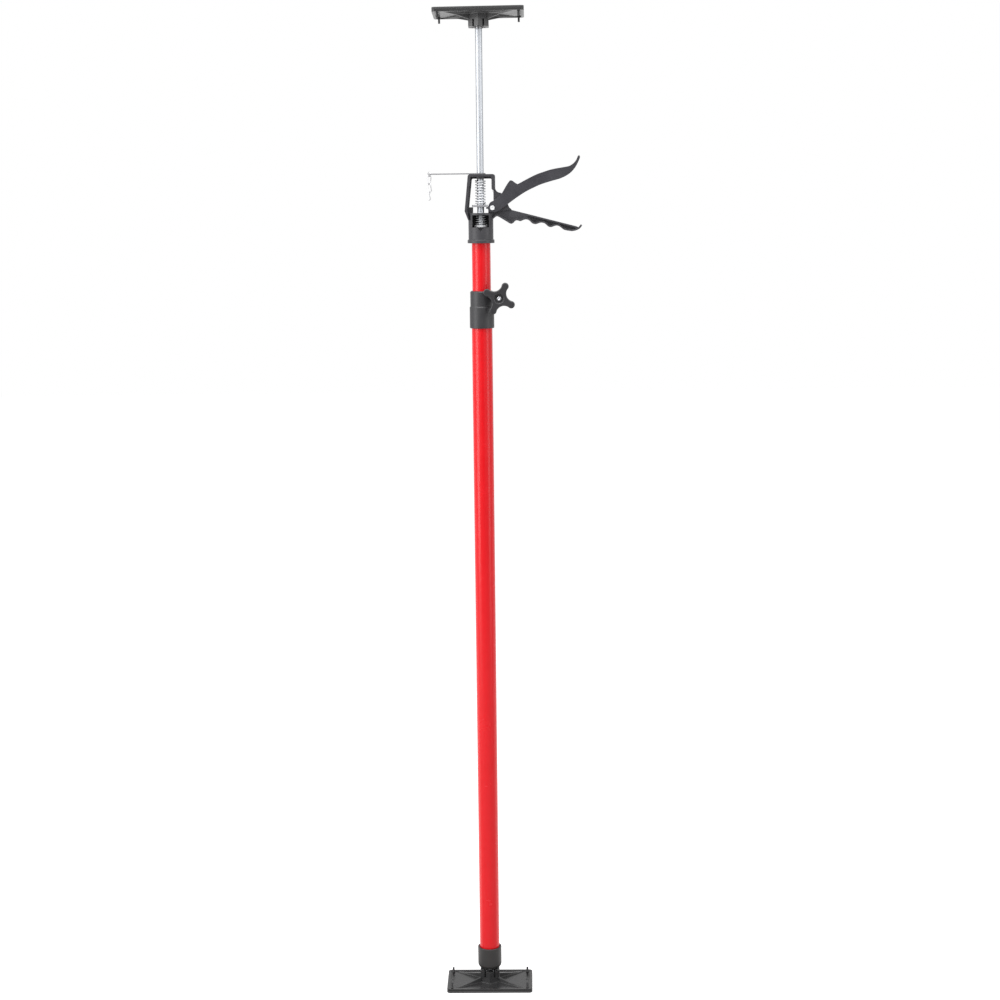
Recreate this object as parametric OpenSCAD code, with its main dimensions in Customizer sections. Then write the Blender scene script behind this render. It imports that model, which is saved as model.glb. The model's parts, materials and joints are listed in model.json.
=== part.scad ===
// Telescopic drywall support pole: two steel tubes with a clamp collar, and a lever head
// that pumps a steel rod up against the board. Millimetres, +Z up. The origin is the centre
// of the ground face of the foot pad, on the axis of the pole. The levers point to +X.

/* [Plates and pads] */
// Length of each end plate, left to right
plate_len = 130; // [116:1:160]
// Width of each end plate, front to back
plate_wid = 75; // [66:1:100]
// Corner radius of the plates and pads
plate_corner = 5; // [3:0.5:9]
// Thickness of the web of a plate
plate_web = 2.5; // [2:0.1:4]
// Width of the raised rim round a plate
rim_wid = 4; // [2:0.5:6]
// Height of that rim above the web
rim_rise = 1; // [0.5:0.1:2]
// Thickness of a rubber pad
pad_thick = 3; // [2:0.5:6]
// Width across the flats of the hexagonal socket boss
boss_flats = 29; // [26:0.5:34]
// Height of the boss above the centre of its ball
socket_lip = 9.3; // [8.5:0.1:11]
// Width of the slots that let the socket snap over the ball
socket_slot = 2.5; // [1.5:0.1:3]
// Height of the gussets where they meet the boss
gusset_rise = 9; // [6:0.5:12]
// Thickness of a gusset
gusset_thick = 2.5; // [1.5:0.1:4]
// Diameter of the stems that hold a pad in its plate
stem_d = 3.6; // [2.4:0.1:4]

/* [Ball joints] */
// Diameter of the balls
ball_d = 18; // [16.5:0.1:19]
// Diameter of the neck under a ball
neck_d = 10; // [8:0.5:11]
// Diameter of the shank that turns in the foot cap
shank_d = 8; // [6:0.5:9]
// Gap between the boss of the foot and the foot cap
cap_gap = 3.5; // [3:0.1:6]
// Tilt of the top plate about X as the pole stands
top_tilt = 3.5; // [0:0.5:8]
// Tilt of the top plate about Y as the pole stands
top_lean = 0.5; // [0:0.1:2]

/* [Tubes] */
// Outside diameter of the lower tube
lower_tube_d = 30; // [29.8:0.1:31]
// Wall of the lower tube
lower_wall = 1.2; // [0.8:0.1:1.3]
// Length of the lower tube
lower_tube_len = 1000; // [700:5:1300]
// Outside diameter of the upper tube
upper_tube_d = 27; // [26:0.1:27]
// Wall of the upper tube
upper_wall = 1.2; // [0.8:0.1:1.5]
// How much shorter the upper tube is than the lower one
tube_short = 0; // [0:5:200]
// How far the upper tube shows between the collar and the head
tube_show = 69; // [69:1:500]
// Outside diameter of the foot cap
cap_d = 36; // [34:0.5:42]
// Height of the foot cap
cap_h = 33.5; // [24:0.5:50]
// Thickness of the floor of the foot cap
cap_floor = 9.5; // [8:0.5:12]
// Radius of the bottom edge of the foot cap
cap_round = 7; // [2:0.5:7.5]

/* [Clamp collar] */
// Outside diameter of the sleeve on the lower tube
sleeve_d = 35.6; // [34.6:0.1:40]
// Length of the lower tube that the sleeve holds
sleeve_grip = 28; // [15:1:50]
// Outside diameter of the split clamp ring
clamp_d = 33.5; // [32:0.1:34.5]
// Height of the clamp ring above the sleeve
clamp_h = 23; // [18:0.5:40]
// Distance of the clamp bolt from the axis of the pole
bolt_x = 25.6; // [25:0.1:32]
// Diameter of the clamp bolt
bolt_d = 6; // [5:0.1:6.4]
// Height of the bolt above the foot of the clamp ring
bolt_rise = 12.8; // [8:0.1:15]
// Pitch of its thread
bolt_pitch = 1; // [0.8:0.1:1.25]
// Width of the slit in the clamp ring
slit_wid = 3; // [1.5:0.1:4]
// Radius of the clamp ears round the bolt
ear_r = 6; // [5:0.1:7.5]
// Thickness of both ears with the slit between them
ears_thick = 14; // [10:0.5:18]
// Distance from the bolt to the end of a knob arm
knob_r = 24.8; // [22:0.1:28]
// Radius of the end of a knob arm
knob_arm_r = 5.2; // [4:0.1:6]
// Radius of the middle of the knob between its arms
knob_core_r = 11.5; // [10:0.1:12]
// Thickness of the knob
knob_thick = 9; // [7:0.5:14]
// Diameter of the recess in its middle
knob_recess_d = 13; // [9:0.5:15]
// Angle of the first knob arm above +X
knob_turn = 63; // [0:1:89]

/* [Lever head] */
// Diameter of the socket of the head
socket_d = 36; // [33:0.1:40]
// Diameter of the flange at its lower end
flange_d = 39; // [37:0.1:43]
// Height of that flange
flange_h = 5; // [3:0.5:8]
// Length of the upper tube inside the socket
tube_seat = 16; // [12:0.5:19]
// Height of the floor of the spring chamber above the flange
chamber_floor = 22.6; // [22:0.1:26]
// Height of the spring chamber
chamber_h = 17.4; // [15:0.1:22]
// Width of the spring chamber
chamber_wid = 24; // [21.5:0.5:26]
// Thickness of the wall between the chamber and the slot
cross_wall = 3; // [2:0.1:5]
// Height of the slot above that wall
slot_h = 8.4; // [7:0.1:10]
// Width of the slot
slot_wid = 22; // [18:0.5:23]
// Height of the open window above the slot
window_h = 40.6; // [34:0.1:50]
// Thickness of the top bar with its inner step
bar_thick = 6.4; // [5:0.1:8]
// Overall width of the frame
frame_wid = 44.2; // [43.8:0.1:48]
// Thickness of the frame, front to back
frame_depth = 22; // [20:0.5:26]
// Thickness of the lug that carries the lever
web_thick = 9; // [7:0.5:10]
// Thickness of the web inside the frame and the grip
frame_web = 5; // [3:0.5:7]
// Width of the frame's flange
flange_wid = 3.6; // [2.5:0.1:4.5]
// Distance of the lever pivot from the axis of the pole
pivot_x = 17; // [16.6:0.1:20]
// Length of the lever from its pivot
lever_len = 126.3; // [100:0.1:150]
// Length of the fixed grip from the pivot
grip_len = 130.1; // [105:0.1:150]
// Thickness of the cheeks of the lever
cheek_thick = 3; // [2:0.1:4]
// Radius of the hub of the lever
hub_r = 6.5; // [5.8:0.1:6.8]
// Diameter of the rivet the lever turns on
rivet_d = 5; // [4:0.1:6]
// Diameter of its head
rivet_head_d = 6.6; // [6.2:0.1:8]
// Width of the grip rim, front to back
grip_depth = 15; // [12:0.5:20]

/* [Rod and drive] */
// Diameter of the rod
rod_d = 10; // [8:0.1:10.4]
// Length of the rod
rod_len = 880; // [500:5:900]
// How far the rod stands out of the head
rod_show = 205; // [205:1:600]
// Thickness of the drive plate
drive_thick = 3; // [2:0.1:3.4]
// Outside diameter of the main spring
main_spring_d = 15.4; // [14.6:0.1:17]
// Wire of the main spring
main_wire = 1.6; // [1.2:0.1:1.7]
// Turns of the main spring
main_turns = 9.5; // [6.5:1:10.5]
// Outside diameter of the foot of the conical spring
cone_spring_d = 18; // [16:0.1:19]
// Wire of the conical spring
cone_wire = 1; // [0.8:0.1:1.2]
// Turns of the conical spring
cone_turns = 4.5; // [3.5:1:5.5]
// Diameter of the stop washer
washer_d = 19; // [18:0.1:20.5]
// Thickness of the stop washer
washer_thick = 3.2; // [2:0.1:4]

/* [Brake lever and chain] */
// Reach of the brake lever to the left of the rod
brake_reach = 76; // [60:1:90]
// Thickness of its steel strip
brake_thick = 1.5; // [1:0.1:2]
// Width of the strip at the rod
brake_wid = 16; // [14:0.5:20]
// Width of the strip at its far end
brake_tip_wid = 9; // [8:0.5:12]
// Wire of the ring and of the chain links
chain_wire = 1.2; // [1:0.05:1.3]
// Radius of the ring, to the middle of its wire
ring_r = 3.2; // [3:0.1:3.8]
// Length of a link between the middles of its end wires
link_len = 12.6; // [11:0.1:15]
// Width of a link between the middles of its side wires
link_wid = 5.6; // [5:0.1:6.5]

/* [Hidden] */
$fn = 64;

// Clearances and one overrun for every cut
turn_fit = 0.05;  // radius between a pin and the bore that it turns in
run_fit = 0.1;    // radius between a ball, rod or bush and what guides it
seat_fit = 0.2;   // between pieces that only rest on each other
slip_fit = 0.3;   // radius between pieces that slide past each other
over = 1;

// Heights of the foot, counted up from the floor
base_z = pad_thick;
ball_lift = plate_web + 2 * run_fit + ball_d / 2;
foot_ball_z = base_z + ball_lift;
cap_z = foot_ball_z + socket_lip + cap_gap;
lower_tube_z = cap_z + cap_floor;
lower_tube_top = lower_tube_z + lower_tube_len;
upper_tube_len = lower_tube_len - tube_short;

// Heights of the collar
sleeve_z = lower_tube_top - sleeve_grip;
collar_shoulder = 3;  // solid ring over the end of the lower tube
clamp_z = lower_tube_top + collar_shoulder;
collar_top = clamp_z + clamp_h;
bolt_z = clamp_z + bolt_rise;

// Heights of the head, counted up from its flange
head_z = collar_top + tube_show;
chamber_top = chamber_floor + chamber_h;
slot_floor = chamber_top + cross_wall;
ledge_h = slot_floor + slot_h;
window_top = ledge_h + window_h;
head_h = window_top + bar_thick;
head_top = head_z + head_h;

// The drive plate rests just above the ledge, and the pivot lies just below it
drive_h = ledge_h + slip_fit;
drive_top = drive_h + drive_thick;
pivot_drop = 1.4;  // pivot below the underside of the drive plate
pivot_h = drive_h - pivot_drop;
spring_boss_h = 1.5;  // boss that the main spring bears on
spring_seat = window_top - spring_boss_h;

// Rod and top ball
rod_top = head_top + rod_show;
rod_z = rod_top - rod_len;
top_neck = 1.5;  // gap between the boss of the top plate and the end of the rod
top_ball_z = rod_top + top_neck + socket_lip;

// Widths across the lever head, front to back
cheek_in = web_thick / 2 + slip_fit;
cheek_out = cheek_in + cheek_thick;
nose_arm = 7.8;  // pivot to the nose that lifts the drive plate
nose_r = 1.3;

// Ball joint sizes that follow the ball
socket_r = ball_d / 2 + run_fit;
mouth_share = 0.81;  // mouth of the socket to the radius of its sphere
mouth_r = socket_r * mouth_share;
mouth_lift = sqrt(socket_r * socket_r - mouth_r * mouth_r);
flare_share = 1.2;
flare_r = socket_r * flare_share;
slot_cut = 10;  // depth of the slots between the socket fingers
stem_hole_r = stem_d / 2 + slip_fit / 2;

// Unit vector, rounded corners and smooth curves for the outlines
function unit(v) = v / norm(v);
function turned(v) = [-v[1], v[0]];
function heading(v) = atan2(v[1], v[0]);
function wrap(a) = a > 180 ? a - 360 : a < -180 ? a + 360 : a;

// Points of the arc of radius r that rounds the corner b between a and c
function corner(a, b, c, r, steps = 6) =
  let (
    u = unit(a - b),
    v = unit(c - b),
    half = acos(max(-1, min(1, u * v))) / 2,
    centre = b + unit(u + v) * r / sin(half),
    from = heading(b + u * r / tan(half) - centre),
    sweep = wrap(heading(b + v * r / tan(half) - centre) - from)
  )
  [for (i = [0 : steps]) centre + r * [cos(from + sweep * i / steps), sin(from + sweep * i / steps)]];

// Outline with each corner [x, y, radius] rounded by its own radius
function rounded(pts) =
  let (n = len(pts))
  [for (i = [0 : n - 1])
    let (
      a = pts[(i + n - 1) % n],
      b = pts[i],
      c = pts[(i + 1) % n]
    )
    each b[2] > 0 ? corner([a[0], a[1]], [b[0], b[1]], [c[0], c[1]], b[2]) : [[b[0], b[1]]]];

// Smooth curve through all the points p
function blend(a, b, c, d, t) =
  (2 * b + (c - a) * t + (2 * a - 5 * b + 4 * c - d) * t * t + (3 * b - a - 3 * c + d) * t * t * t) / 2;
function curve(p, steps = 4) =
  let (n = len(p))
  [for (i = [0 : n - 2], k = [0 : steps - 1])
    blend(p[max(i - 1, 0)], p[i], p[i + 1], p[min(i + 2, n - 1)], k / steps),
    p[n - 1]];

// The same curve moved sideways by d, to the right of its direction, without the points
// that would fold back inside a tight bend
fold_share = 0.97;
function beside(p, d) =
  let (n = len(p))
  [for (i = [0 : n - 1])
    let (q = p[i] - d * unit(turned(p[min(i + 1, n - 1)] - p[max(i - 1, 0)])))
    if (min([for (a = p) norm(q - a)]) > fold_share * d) q];
function backwards(p) = [for (i = [len(p) - 1 : -1 : 0]) p[i]];

// Runs of an outline joined end to end, each without the point that it shares with the last
function joined(runs) = concat(
  runs[0],
  [for (k = [1 : len(runs) - 1], i = [1 : len(runs[k]) - 1]) runs[k][i]]
);
module band(edge, wide) {
  polygon(concat(edge, backwards(beside(edge, wide))));
}

// Tube of wire along a path: one ring at each point, its first side turned towards refs[i]
function ring_at(p, along, ref, r, sides) =
  let (
    t = unit(along),
    e = unit(ref - (ref * t) * t),
    f = cross(t, e)
  )
  [for (k = [0 : sides - 1]) p + r * (cos(360 * k / sides) * e + sin(360 * k / sides) * f)];

module wire_tube(path, refs, r, closed = false, sides = 6) {
  n = len(path);
  turns = closed ? n : n - 1;
  points = [for (i = [0 : n - 1])
    let (
      before = closed ? path[(i + n - 1) % n] : path[max(i - 1, 0)],
      after = closed ? path[(i + 1) % n] : path[min(i + 1, n - 1)]
    )
    each ring_at(path[i], after - before, refs[i], r, sides)];
  skin = [for (i = [0 : turns - 1], k = [0 : sides - 1])
    let (
      a = i * sides + k,
      b = i * sides + (k + 1) % sides,
      c = ((i + 1) % n) * sides + k,
      d = ((i + 1) % n) * sides + (k + 1) % sides
    )
    each [[a, b, d], [a, d, c]]];
  ends = closed ? [] : [
    for (k = [1 : sides - 2]) [0, k + 1, k],
    for (k = [1 : sides - 2]) [(n - 1) * sides, (n - 1) * sides + k, (n - 1) * sides + k + 1]
  ];
  polyhedron(points = points, faces = [for (f = concat(skin, ends)) [f[0], f[2], f[1]]]);
}

// Least distance between the skins of the path at points more than skip steps apart
function least_gap(path, skip, wire) =
  min([for (i = [0 : len(path) - 1 - skip], j = [i + skip : len(path) - 1]) norm(path[i] - path[j])]) - wire;

// Flat shape in the plane of the lever head, [x, height], given a thickness front to back
module slab(thick) {
  rotate([90, 0, 0])
    linear_extrude(height = thick, center = true)
      children();
}

// Rounded rectangle centred on the axis, with true arcs
module rounded_plate(len_x, wid_y, r, high) {
  linear_extrude(height = high) {
    square([len_x, wid_y - 2 * r], center = true);
    square([len_x - 2 * r, wid_y], center = true);
    for (x = [-1, 1], y = [-1, 1])
      translate([x * (len_x / 2 - r), y * (wid_y / 2 - r)])
        circle(r);
  }
}

// Places of the four stems of a pad
stem_x = plate_len / 2 - rim_wid - stem_d;
stem_y = plate_wid / 2 - rim_wid - stem_d;
module at_stems() {
  for (x = [-1, 1], y = [-1, 1])
    translate([x * stem_x, y * stem_y, 0])
      children();
}

// Rubber pad below z = 0, with stems that are pulled up through the plate
stem_bulb_share = 1.35;
stem_tail_share = 0.82;
stem_rise = 8;  // height of the tails above the plate
module rubber_pad() {
  translate([0, 0, -pad_thick])
    rounded_plate(plate_len, plate_wid, plate_corner, pad_thick);
  at_stems() {
    cylinder(h = plate_web + seat_fit, d = stem_d);
    translate([0, 0, plate_web + seat_fit])
      cylinder(h = stem_d / 2, d1 = stem_d * stem_bulb_share, d2 = stem_d);
    cylinder(h = plate_web + stem_rise, d = stem_d * stem_tail_share);
  }
}

// Moulded plate with its back at z = 0, a slotted hexagonal socket and four gussets
gusset_reach_shares = [0.77, 0.83];
gusset_end = [gusset_reach_shares[0] * plate_len / 2, gusset_reach_shares[1] * plate_wid / 2];
gusset_sag_share = 0.38;
boss_foot = 1;  // height and width of the step round the foot of the boss
dimple_d = 4;
dimple_deep = 0.6;
dimple_x = plate_len / 2 - rim_wid - dimple_d;
module plate_gusset() {
  reach = norm(gusset_end);
  root = boss_flats / 2 - socket_slot;
  middle = (root + reach) / 2;
  slab(gusset_thick)
    polygon([
      [root, 0],
      [reach, 0],
      [reach, plate_web + rim_rise / 2],
      [middle, plate_web + gusset_rise * gusset_sag_share],
      [root, plate_web + gusset_rise]
    ]);
}
module socket_plate() {
  difference() {
    union() {
      rounded_plate(plate_len, plate_wid, plate_corner, plate_web);
      difference() {
        rounded_plate(plate_len, plate_wid, plate_corner, plate_web + rim_rise);
        translate([0, 0, -over])
          rounded_plate(plate_len - 2 * rim_wid, plate_wid - 2 * rim_wid, plate_corner / 2,
            plate_web + rim_rise + 2 * over);
      }
      for (side = [0, 180], flip = [-1, 1])
        rotate([0, 0, side + flip * atan2(gusset_end[1], gusset_end[0])])
          plate_gusset();
      rotate([0, 0, 30]) {
        cylinder(h = ball_lift + socket_lip, d = boss_flats / cos(30), $fn = 6);
        cylinder(h = plate_web + boss_foot, d = (boss_flats + 2 * boss_foot) / cos(30), $fn = 6);
      }
    }
    translate([0, 0, ball_lift])
      sphere(r = socket_r);
    translate([0, 0, ball_lift + mouth_lift])
      cylinder(h = socket_lip - mouth_lift, r1 = mouth_r, r2 = flare_r);
    for (a = [0, 60, 120])
      rotate([0, 0, a])
        translate([-boss_flats, -socket_slot / 2, ball_lift + socket_lip - slot_cut])
          cube([2 * boss_flats, socket_slot, slot_cut + over]);
    at_stems()
      translate([0, 0, -over])
        cylinder(h = plate_web + 2 * over, r = stem_hole_r);
    for (x = [-1, 1])
      translate([x * dimple_x, 0, plate_web - dimple_deep])
        cylinder(h = dimple_deep + over, d = dimple_d);
  }
}

// Ball stud with its ball centre at the origin and its shank upwards
clip_thick = 1.2;
clip_d = 13;
clip_groove = 0.8;  // depth of the clip groove in the shank
clip_edge = 1.5;  // end of the shank past the clip
module foot_ball() {
  color([0.62, 0.63, 0.65])
    translate([0, 0, foot_ball_z])
      difference() {
        union() {
          sphere(d = ball_d);
          cylinder(h = cap_z - foot_ball_z, d = neck_d);
          cylinder(h = lower_tube_z - foot_ball_z + seat_fit + clip_thick + clip_edge, d = shank_d);
        }
        translate([0, 0, lower_tube_z - foot_ball_z + seat_fit])
          difference() {
            cylinder(h = clip_thick, d = shank_d + 2 * over);
            translate([0, 0, -over])
              cylinder(h = clip_thick + 2 * over, d = shank_d - 2 * clip_groove);
          }
      }
}
module foot_clip() {
  color([0.25, 0.25, 0.26])
    translate([0, 0, lower_tube_z + seat_fit])
      difference() {
        cylinder(h = clip_thick, d = clip_d);
        translate([0, 0, -over])
          cylinder(h = clip_thick + 2 * over, d = shank_d - 2 * clip_groove + 2 * turn_fit);
        translate([0, -shank_d / 4, -over])
          cube([clip_d, shank_d / 2, clip_thick + 2 * over]);
      }
}

module base_pad() {
  color([0.05, 0.05, 0.05])
    translate([0, 0, base_z])
      rubber_pad();
}
module base_plate() {
  color([0.1, 0.1, 0.11])
    translate([0, 0, base_z])
      socket_plate();
}

// Foot cap: a cup over the end of the lower tube, with a rounded bottom edge
module foot_cap() {
  color([0.2, 0.19, 0.19])
    translate([0, 0, cap_z])
      difference() {
        rotate_extrude() {
          square([cap_d / 2 - cap_round, cap_h]);
          translate([0, cap_round])
            square([cap_d / 2, cap_h - cap_round]);
          translate([cap_d / 2 - cap_round, cap_round])
            intersection() {
              circle(cap_round);
              translate([0, -cap_round])
                square(cap_round + over);
            }
        }
        translate([0, 0, cap_floor])
          cylinder(h = cap_h, r = lower_tube_d / 2 + turn_fit);
        translate([0, 0, -over])
          cylinder(h = cap_floor + 2 * over, r = shank_d / 2 + turn_fit);
      }
}

module pipe(len_z, od, wall) {
  difference() {
    cylinder(h = len_z, d = od);
    translate([0, 0, -over])
      cylinder(h = len_z + 2 * over, d = od - 2 * wall);
  }
}
module lower_tube() {
  color([0.86, 0.06, 0.09])
    translate([0, 0, lower_tube_z])
      pipe(lower_tube_len, lower_tube_d, lower_wall);
}

// Clamp collar: a sleeve on the lower tube, a shoulder and a split ring with two ears
lip_cut = 1.5;  // chamfer of the top lip
module collar_turned() {
  h = collar_top - sleeve_z;
  step = clamp_z - sleeve_z;
  rotate_extrude()
    polygon([
      [upper_tube_d / 2 + turn_fit, h],
      [upper_tube_d / 2 + turn_fit, sleeve_grip],
      [lower_tube_d / 2 + turn_fit, sleeve_grip],
      [lower_tube_d / 2 + turn_fit, 0],
      [sleeve_d / 2 - lip_cut / 2, 0],
      [sleeve_d / 2, lip_cut / 2],
      [sleeve_d / 2, step - lip_cut / 2],
      [clamp_d / 2, step + lip_cut / 2],
      [clamp_d / 2, h - lip_cut],
      [clamp_d / 2 - lip_cut, h]
    ]);
}
module clamp_collar() {
  color([0.22, 0.22, 0.23])
    difference() {
      union() {
        translate([0, 0, sleeve_z])
          collar_turned();
        translate([0, 0, bolt_z])
          difference() {
            slab(ears_thick) {
              translate([bolt_x, 0])
                circle(ear_r);
              translate([0, -ear_r])
                square([bolt_x, 2 * ear_r]);
            }
            translate([0, 0, -clamp_h])
              cylinder(h = 2 * clamp_h, r = upper_tube_d / 2 + turn_fit);
          }
      }
      translate([0, -slit_wid / 2, clamp_z])
        cube([bolt_x + ear_r + over, slit_wid, clamp_h + over]);
      translate([bolt_x, 0, bolt_z])
        rotate([90, 0, 0])
          cylinder(h = ears_thick + 2 * over, r = bolt_d / 2 + turn_fit, center = true);
    }
}

// Knob, nut, washer and bolt lie along -Y in front of the ears
knob_proud = 1.5;  // back of the star in front of the sleeve and the flange of the head
knob_washer_thick = 1.2;
knob_washer_d = 14;
hub_front = max(sleeve_d, flange_d) / 2 + knob_proud;
knob_back = ears_thick / 2 + knob_washer_thick;
knob_front = hub_front + knob_thick;
recess_deep_share = 0.45;
recess_deep = knob_thick * recess_deep_share;
nut_flats = 10;
nut_thick = 5;
knob_web = 1;  // wall between the nut and the recess
nut_at = knob_front - recess_deep - knob_web - nut_thick;
bolt_end = knob_front - recess_deep / 2;
bolt_head_flats = 10;
bolt_head_h = 4;

// Moves a shape that is built up +Z so that it points to -Y from the bolt
module along_bolt(from) {
  translate([bolt_x, -from, bolt_z])
    rotate([90, 0, 0])
      children();
}
module clamp_bolt() {
  color([0.75, 0.76, 0.78])
    difference() {
      union() {
        along_bolt(-ears_thick / 2)
          cylinder(h = ears_thick / 2 + bolt_end, d = bolt_d);
        along_bolt(-ears_thick / 2 - bolt_head_h)
          cylinder(h = bolt_head_h, d = bolt_head_flats / cos(30), $fn = 6);
      }
      along_bolt(bolt_end - bolt_d / 4)
        cylinder(h = bolt_d / 2, r1 = 0, r2 = bolt_d / 2 - bolt_d / 8);
    }
}
module clamp_washer() {
  color([0.75, 0.76, 0.78])
    along_bolt(ears_thick / 2)
      difference() {
        cylinder(h = knob_washer_thick, d = knob_washer_d);
        translate([0, 0, -over])
          cylinder(h = knob_washer_thick + 2 * over, r = bolt_d / 2 + slip_fit);
      }
}

// Star outline: circles cut the hollows so that each arm ends as wide as its round end
arm_at = knob_r - knob_arm_r;
hollow_at = (arm_at * arm_at + knob_arm_r * knob_arm_r - knob_core_r * knob_core_r)
  / (2 * (arm_at + knob_arm_r - sqrt(2) * knob_core_r));
hollow_r = sqrt(2) * hollow_at - knob_core_r;
module star() {
  difference() {
    circle(arm_at);
    for (a = [0 : 90 : 270])
      rotate(a)
        translate([hollow_at, hollow_at])
          circle(hollow_r);
  }
  for (a = [0 : 90 : 270])
    rotate(a)
      translate([arm_at, 0])
        circle(knob_arm_r);
}
module clamp_knob() {
  color([0.2, 0.2, 0.21])
    along_bolt(knob_back)
      difference() {
        union() {
          cylinder(h = hub_front - knob_back + over, d = knob_washer_d);
          translate([0, 0, hub_front - knob_back])
            rotate([0, 0, knob_turn])
              linear_extrude(height = knob_thick)
                star();
        }
        translate([0, 0, -over])
          cylinder(h = knob_front, r = bolt_d / 2 + slip_fit);
        translate([0, 0, -over])
          cylinder(h = nut_at + nut_thick - knob_back + over, d = nut_flats / cos(30) + 2 * turn_fit, $fn = 6);
        translate([0, 0, knob_front - knob_back - recess_deep])
          cylinder(h = recess_deep + over, d = knob_recess_d);
      }
}
module knob_nut() {
  color([0.75, 0.76, 0.78])
    along_bolt(nut_at)
      difference() {
        cylinder(h = nut_thick, d = nut_flats / cos(30), $fn = 6);
        translate([0, 0, -over])
          cylinder(h = nut_thick + 2 * over, r = bolt_d / 2 + turn_fit);
      }
}

// Upper tube, with the guide bush that runs in the lower tube
upper_tube_top = head_z + tube_seat;
upper_tube_z = upper_tube_top - upper_tube_len;
rivet_rise = tube_seat / 2;
fix_rivet_d = 3.2;
module upper_tube() {
  color([0.86, 0.06, 0.09])
    difference() {
      translate([0, 0, upper_tube_z])
        pipe(upper_tube_len, upper_tube_d, upper_wall);
      translate([0, 0, head_z + rivet_rise])
        rotate([-90, 0, 0])
          cylinder(h = upper_tube_d, r = fix_rivet_d / 2 + turn_fit);
    }
}
guide_collar = 6;
guide_plug = 18;
guide_wall = 2.5;
module tube_guide() {
  color([0.12, 0.12, 0.12])
    translate([0, 0, upper_tube_z])
      difference() {
        union() {
          translate([0, 0, -guide_collar])
            cylinder(h = guide_collar, r = lower_tube_d / 2 - lower_wall - run_fit);
          cylinder(h = guide_plug, r = upper_tube_d / 2 - upper_wall - turn_fit);
        }
        translate([0, 0, -guide_collar - over])
          cylinder(h = guide_collar + guide_plug + 2 * over,
            r = upper_tube_d / 2 - upper_wall - guide_wall);
      }
}

// Frame of the head: outline of the full flange, in [x, height] from the head's flange.
// The left leg leans out to a knee and comes in to the socket; the right leg is short.
leg_top = -0.4 * frame_wid;
leg_knee = -0.52 * frame_wid;
leg_right = 0.48 * frame_wid;
knee_h = slot_floor + slot_h / 3;
shoulder_h = chamber_floor + chamber_h * 0.6;
right_leg_h = ledge_h + window_h * 0.62;
leg_right_wid = 5;
corner_r = 3.4;
web_step = 2;  // step from the flange to the edge of the window
module head_flange() {
  polygon(rounded([
    [-socket_d / 2, shoulder_h, 0],
    [leg_knee, knee_h, corner_r],
    [leg_top, head_h, corner_r],
    [leg_right, head_h, corner_r],
    [leg_right, right_leg_h, corner_r / 4],
    [leg_right - leg_right_wid * 0.45, right_leg_h - corner_r / 2, corner_r / 4],
    [leg_right - leg_right_wid, right_leg_h + corner_r / 3, corner_r / 4],
    [leg_right - leg_right_wid, head_h - flange_wid, corner_r / 2],
    [leg_top + flange_wid, head_h - flange_wid, corner_r / 2],
    [leg_knee + flange_wid, knee_h + corner_r / 3, corner_r],
    [-socket_d / 2 + flange_wid / 2, shoulder_h, 0]
  ]));
}

// The recessed wall inside the flange, and the lug that carries the lever
lug_shares = [[0.09, 0.165], [0.115, 0.152], [0.146, 0.098], [0.173, 0.036], [0.188, 0.002], [0.216, -0.022]];
module frame_web_shape() {
  polygon(rounded([
    [-socket_d / 2 + flange_wid / 2, shoulder_h - corner_r, 0],
    [leg_knee + flange_wid / 2, knee_h, corner_r],
    [leg_top + flange_wid / 2, head_h - flange_wid / 2, corner_r / 2],
    [leg_right - flange_wid / 2, head_h - flange_wid / 2, corner_r / 2],
    [leg_right - flange_wid / 2, ledge_h, 0],
    [socket_d / 2 - flange_wid / 2, shoulder_h - corner_r, 0]
  ]));
}
module head_lug() {
  polygon(concat(
    corner([leg_right, head_h], [leg_right, right_leg_h - corner_r * 1.6],
      [pivot_x + lug_shares[0][0] * grip_len, pivot_h + lug_shares[0][1] * grip_len], corner_r * 2.2),
    [for (s = lug_shares) [pivot_x, pivot_h] + s * grip_len],
    [[pivot_x, pivot_h - hub_r], [leg_right - flange_wid, pivot_h], [leg_right - flange_wid, right_leg_h]]
  ));
}

// Window between the legs, open down to the lug on the right and to the slot below
lug_r = 6.2;
module head_window() {
  polygon(rounded([
    [leg_top + flange_wid + web_step, window_top, corner_r / 2],
    [leg_right - leg_right_wid, window_top, corner_r / 2],
    [leg_right - leg_right_wid, right_leg_h + corner_r / 3, 0],
    [leg_right - leg_right_wid / 2, right_leg_h - corner_r / 2, 0],
    [leg_right - leg_right_wid / 2, pivot_h + hub_r, 0],
    [pivot_x - lug_r + turn_fit, pivot_h + lug_r * 0.45, 0],
    [slot_wid / 2, pivot_h - lug_r * 0.4, 0],
    [slot_wid / 2, slot_floor, 0],
    [-slot_wid / 2, slot_floor, 0],
    [-slot_wid / 2, ledge_h, 0],
    [leg_knee + flange_wid + web_step * 1.4, ledge_h, 0]
  ]));
}

// Fixed grip under the lever, in shares of its length from the pivot: a straight top edge,
// a hooked tip and finger grooves underneath
grip_top_shares = [[0.214, -0.026], [0.936, -0.214]];
grip_hook_shares = [[0.936, -0.214], [0.953, -0.222], [0.967, -0.21], [0.981, -0.192]];
grip_tip_shares = [[0.981, -0.192], [0.993, -0.203], [0.971, -0.234], [0.944, -0.25], [0.913, -0.261],
  [0.875, -0.265]];
grip_groove_shares = [[0.875, -0.265], [0.799, -0.251], [0.76, -0.224], [0.735, -0.207], [0.706, -0.202],
  [0.678, -0.21], [0.652, -0.218], [0.622, -0.213], [0.589, -0.185], [0.57, -0.173], [0.541, -0.168],
  [0.516, -0.173], [0.48, -0.184], [0.442, -0.175], [0.404, -0.139], [0.366, -0.131], [0.338, -0.139],
  [0.309, -0.15], [0.287, -0.143], [0.258, -0.142], [0.232, -0.166], [0.21, -0.177], [0.188, -0.171]];
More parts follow.
